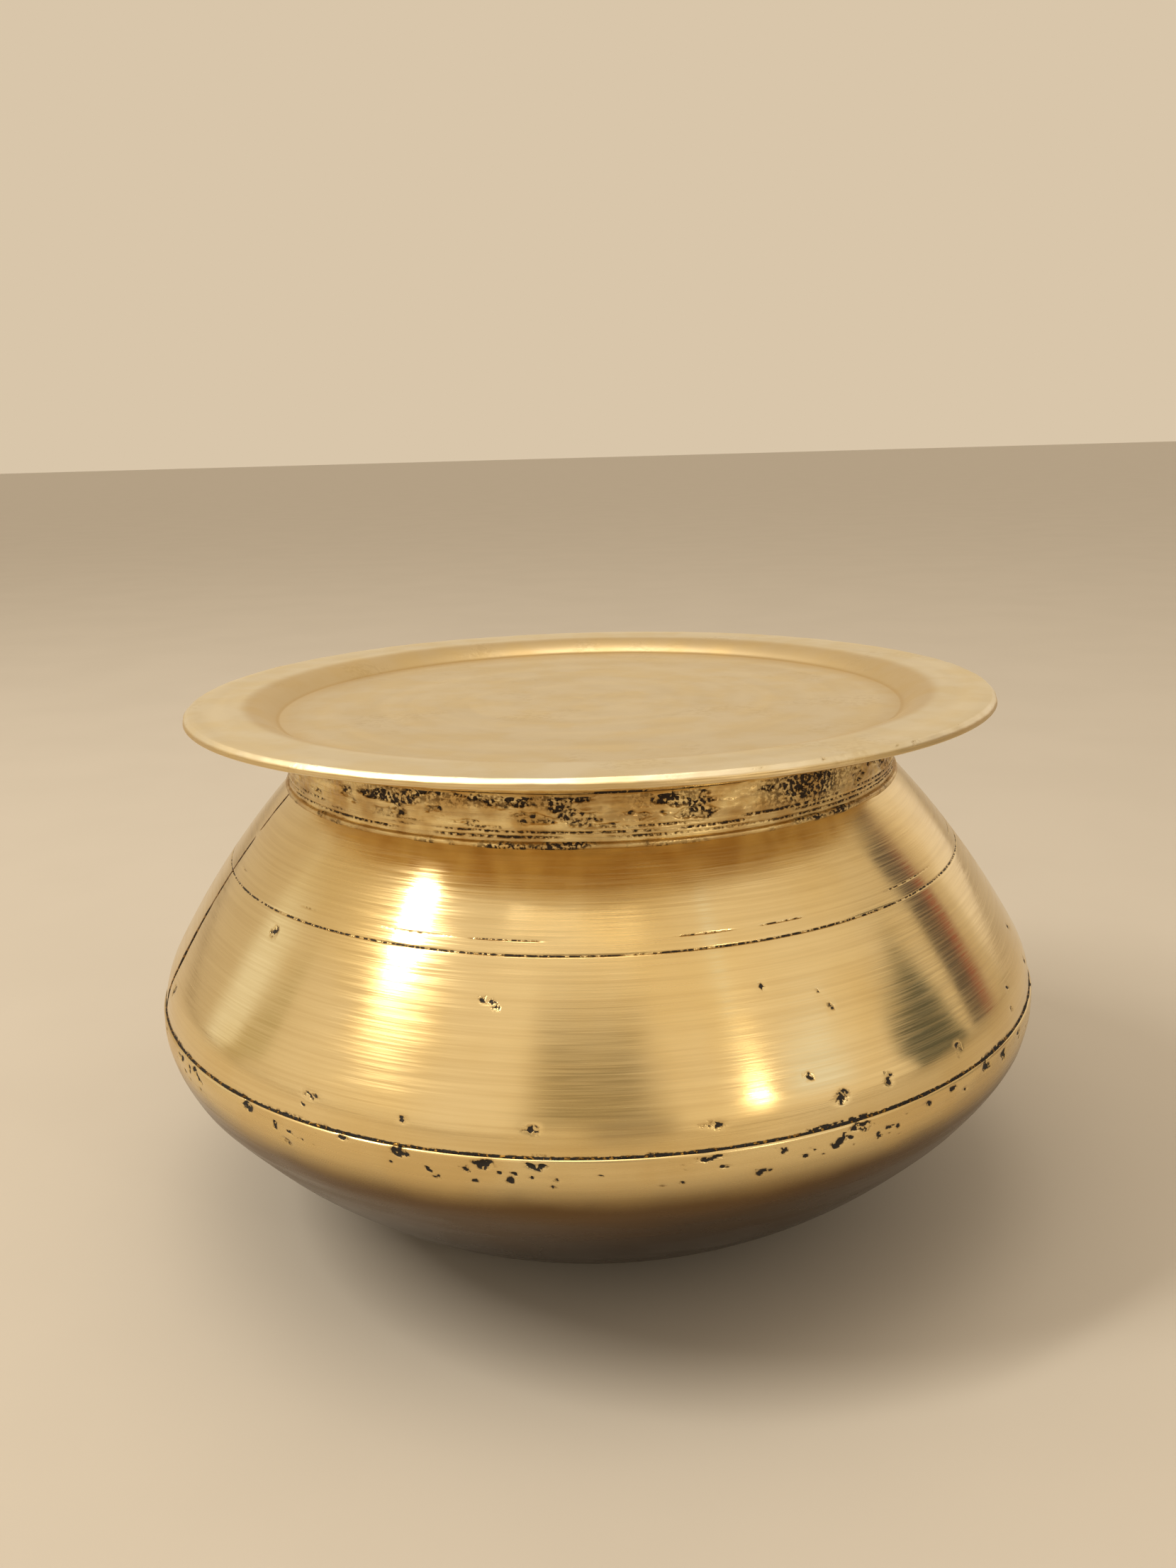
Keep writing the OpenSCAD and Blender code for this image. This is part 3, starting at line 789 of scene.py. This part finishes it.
def makeWorld(look):
    # a pale room, brighter in front of the pot than behind it
    world = bpy.data.worlds.new("room")
    bpy.context.scene.world = world
    world.use_nodes = True
    tree = world.node_tree
    tree.nodes.clear()
    direction = addNode(tree, "ShaderNodeTexCoord").outputs["Generated"]
    way = addNode(tree, "ShaderNodeSeparateXYZ", None, {0: direction})
    roundWay = addNode(tree, "ShaderNodeMath", {"operation": "ARCTAN2"},
                       {0: way.outputs["Y"], 1: way.outputs["X"]})
    upWay = addNode(tree, "ShaderNodeMath", {"operation": "ARCSINE"}, {0: way.outputs["Z"]})
    bearing = addNode(tree, "ShaderNodeCombineXYZ", None, {"X": roundWay.outputs[0], "Y": upWay.outputs[0]})
    colour = blend(tree, spread(tree, way.outputs["Y"], -0.5, 0.6, 0.0, 1.0),
                   linear(look["roomFront"]), linear(look["roomBack"]))
    for (azimuth, rise), (wide, tall), tilt, edge, hexColour in look["patches"]:
        shrink = math.cos(math.radians(rise))
        flat = addNode(tree, "ShaderNodeVectorMath", {"operation": "MULTIPLY"},
                       {0: bearing.outputs[0], 1: (shrink, 1, 0)})
        local = addNode(tree, "ShaderNodeMapping", {"vector_type": "TEXTURE"},
                        {"Vector": flat.outputs[0],
                         "Location": (math.radians(azimuth) * shrink, math.radians(rise), 0),
                         "Rotation": (0, 0, math.radians(tilt)),
                         "Scale": (math.radians(wide), math.radians(tall), 1)})
        size = addNode(tree, "ShaderNodeVectorMath", {"operation": "ABSOLUTE"}, {0: local.outputs[0]})
        sides = addNode(tree, "ShaderNodeSeparateXYZ", None, {0: size.outputs[0]})
        far = addNode(tree, "ShaderNodeMath", {"operation": "SMOOTH_MAX"},
                      {0: sides.outputs["X"], 1: sides.outputs["Y"], 2: 0.4})
        within = spread(tree, far.outputs[0], 1 - edge, 1 + edge, 1.0, 0.0)
        colour = blend(tree, within, colour, linear(hexColour))
    light = addNode(tree, "ShaderNodeBackground", None, {"Color": colour, "Strength": 1.0})
    addNode(tree, "ShaderNodeOutputWorld", None, {"Surface": light.outputs[0]})


def skyward(azimuth, rise):
    azimuth, rise = math.radians(azimuth), math.radians(rise)
    return Vector((math.cos(azimuth) * math.cos(rise), math.sin(azimuth) * math.cos(rise), math.sin(rise)))


def addStripLight(name, ends, distance, width, power, colour):
    # a long light between two directions, seen from a point inside the pot and facing it
    start, end = ends
    target = Vector((0, 0, 0.11))
    first, last = skyward(*start) * distance, skyward(*end) * distance
    data = bpy.data.lights.new(name, "AREA")
    data.shape = "RECTANGLE"
    data.size, data.size_y = width, (last - first).length
    data.energy = power
    data.color = linear(colour)[:3]
    lamp = bpy.data.objects.new(name, data)
    bpy.context.scene.collection.objects.link(lamp)
    outward = (first + last).normalized()
    along = (last - first).normalized()
    along = (along - outward * along.dot(outward)).normalized()
    turnMatrix = Matrix((along.cross(outward), along, outward)).transposed().to_4x4()
    lamp.matrix_world = Matrix.Translation(target + (first + last) / 2) @ turnMatrix


def makeCamera(look):
    yaw, pitch, roll = (math.radians(look[k]) for k in ("yaw", "pitch", "roll"))
    ahead = Vector((math.sin(yaw) * math.cos(pitch), math.cos(yaw) * math.cos(pitch), -math.sin(pitch)))
    right = Vector((math.cos(yaw), -math.sin(yaw), 0))
    up = right.cross(ahead)
    turnedRight = right * math.cos(roll) + up * math.sin(roll)
    turnedUp = up * math.cos(roll) - right * math.sin(roll)
    data = bpy.data.cameras.new("camera")
    data.lens = look["lens"]
    data.clip_start = 0.01
    camera = bpy.data.objects.new("camera", data)
    bpy.context.scene.collection.objects.link(camera)
    turnMatrix = Matrix((turnedRight, turnedUp, -ahead)).transposed().to_4x4()
    camera.matrix_world = Matrix.Translation(look["cameraAt"]) @ turnMatrix
    bpy.context.scene.camera = camera


makeFloor(studioLook)
makeWorld(studioLook)
for lightName, lightLook in studioLook["lights"].items():
    addStripLight(lightName, *lightLook)
makeCamera(studioLook)
bpy.context.scene.view_settings.view_transform = "Standard"
print("studio ready")
